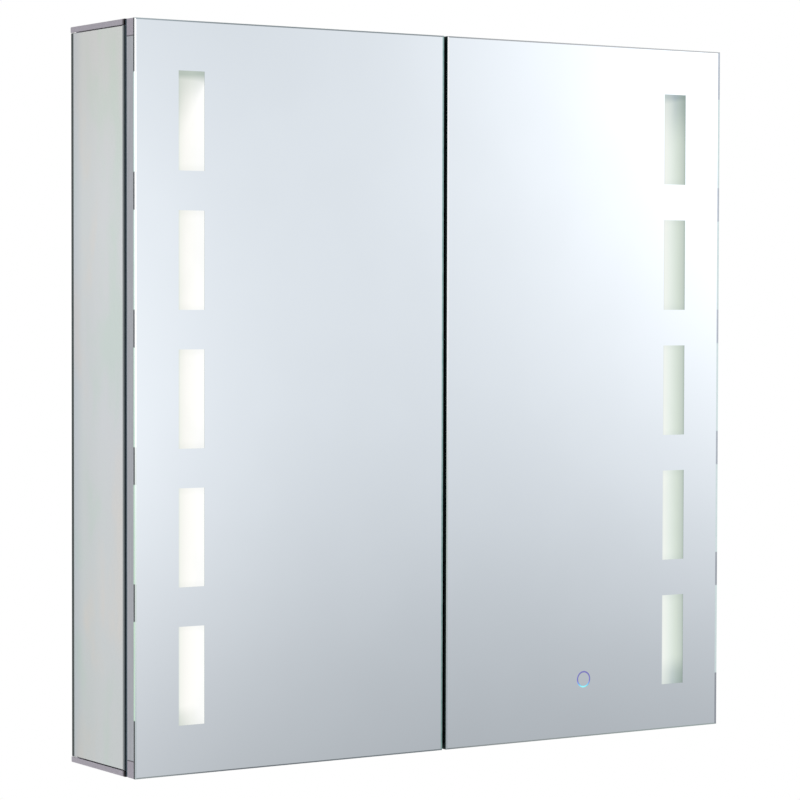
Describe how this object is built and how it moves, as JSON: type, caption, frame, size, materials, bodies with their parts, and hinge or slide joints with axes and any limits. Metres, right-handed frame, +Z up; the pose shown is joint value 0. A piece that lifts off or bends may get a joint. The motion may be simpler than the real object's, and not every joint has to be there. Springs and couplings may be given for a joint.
{
  "type": "medicine cabinet with mirror",
  "caption": "Wall-hung mirror cabinet with twin lit mirror doors on concealed hinges, glass shelves, a top electrics bay and a touch switch.",
  "frame": {"origin": "centre of the rear face, which lies against the wall", "axes": "+X to the right seen from the front, +Y into the wall, +Z up"},
  "size_m": [0.636, 0.12, 0.65],
  "materials": {
    "door_mirror": "silvered 3 mm float glass with polished edges and etched windows",
    "side_mirror": "silvered 3 mm float glass",
    "inner_mirror": "silvered 3 mm float glass",
    "frame_aluminium": "satin anodised extrusion",
    "carcass_aluminium": "satin anodised sheet",
    "back_panel_paint": "dark grey powder coat",
    "cover_paint": "light grey powder coat",
    "bracket_zinc": "zinc plated",
    "screw_zinc": "zinc plated",
    "hinge_nickel": "nickel plated steel",
    "hinge_zinc": "nickel plated die casting",
    "pin_chrome": "polished",
    "seal_rubber": "soft matt",
    "grommet_rubber": "matt",
    "bumper_silicone": "translucent soft",
    "shelf_glass": "5 mm clear float with polished edges",
    "reflector_paint": "gloss white",
    "led_strip": "white board with chips",
    "opal_diffuser": "opal sheet lit from the side",
    "driver_plastic": "moulded",
    "controller_plastic": "moulded",
    "terminal_plastic": "moulded nylon",
    "touch_light": "clear light guide, lit violet",
    "circuit_board": "solder-masked board"
  },
  "bodies": {
    "cabinet": {"arm_pins": "pin_chrome", "back_panel": "back_panel_paint", "back_panel_screws": "screw_zinc", "bottom_panel": "carcass_aluminium", "carcass_screws": "screw_zinc", "corner_brackets": "bracket_zinc", "cover_screws": "screw_zinc", "door_seal": "seal_rubber", "electrics_cover": "cover_paint", "hinge_arm_screws": "screw_zinc", "hinge_arms": "hinge_nickel", "hinge_plate_screws": "screw_zinc", "hinge_plates": "hinge_nickel", "inner_back_mirror": "inner_mirror", "lead_grommets": "grommet_rubber", "led_driver": "driver_plastic", "left_side_mirror": "side_mirror", "left_side_wall": "carcass_aluminium", "lower_shelf": "shelf_glass", "mains_grommet": "grommet_rubber", "middle_shelf": "shelf_glass", "right_side_mirror": "side_mirror", "right_side_wall": "carcass_aluminium", "shelf_pins": "pin_chrome", "terminal_block": "terminal_plastic", "top_panel": "carcass_aluminium", "touch_controller": "controller_plastic", "upper_shelf": "shelf_glass"},
    "left_links": {"left_hinge_links": "hinge_nickel"},
    "right_links": {"right_hinge_links": "hinge_nickel"},
    "left_door": {"left_door_glass": "door_mirror", "left_top_rail": "frame_aluminium", "left_bottom_rail": "frame_aluminium", "left_hinge_stile": "frame_aluminium", "left_free_stile": "frame_aluminium", "left_corner_keys": "bracket_zinc", "left_inner_mirror": "inner_mirror", "left_led_channel": "reflector_paint", "left_led_strip": "led_strip", "left_diffuser": "opal_diffuser", "left_hinge_cups": "hinge_zinc", "left_cup_pins": "pin_chrome", "left_bumpers": "bumper_silicone", "left_stile_grommet": "grommet_rubber"},
    "right_door": {"right_door_glass": "door_mirror", "right_top_rail": "frame_aluminium", "right_bottom_rail": "frame_aluminium", "right_hinge_stile": "frame_aluminium", "right_free_stile": "frame_aluminium", "right_corner_keys": "bracket_zinc", "right_inner_mirror": "inner_mirror", "right_led_channel": "reflector_paint", "right_led_strip": "led_strip", "right_diffuser": "opal_diffuser", "right_hinge_cups": "hinge_zinc", "right_cup_pins": "pin_chrome", "right_bumpers": "bumper_silicone", "right_stile_grommet": "grommet_rubber", "touch_ring": "touch_light", "touch_board": "circuit_board"}
  },
  "joints": [
    {"name": "left_link_swing", "type": "hinge", "parent": "cabinet", "child": "left_links", "pos_m": [-0.294, -0.1, 0], "axis": [0, 0, 1], "range_deg": [0, 35]},
    {"name": "left_door_swing", "type": "hinge", "parent": "left_links", "child": "left_door", "pos_m": [-0.31, -0.1085, 0], "axis": [0, 0, -1], "range_deg": [0, 140]},
    {"name": "right_link_swing", "type": "hinge", "parent": "cabinet", "child": "right_links", "pos_m": [0.294, -0.1, 0], "axis": [0, 0, -1], "range_deg": [0, 35]},
    {"name": "right_door_swing", "type": "hinge", "parent": "right_links", "child": "right_door", "pos_m": [0.31, -0.1085, 0], "axis": [0, 0, 1], "range_deg": [0, 140]}
  ],
  "couplings": [
    {"joint": "left_link_swing", "follows": "left_door_swing", "ratio": 0.25},
    {"joint": "right_link_swing", "follows": "right_door_swing", "ratio": 0.25}
  ]
}
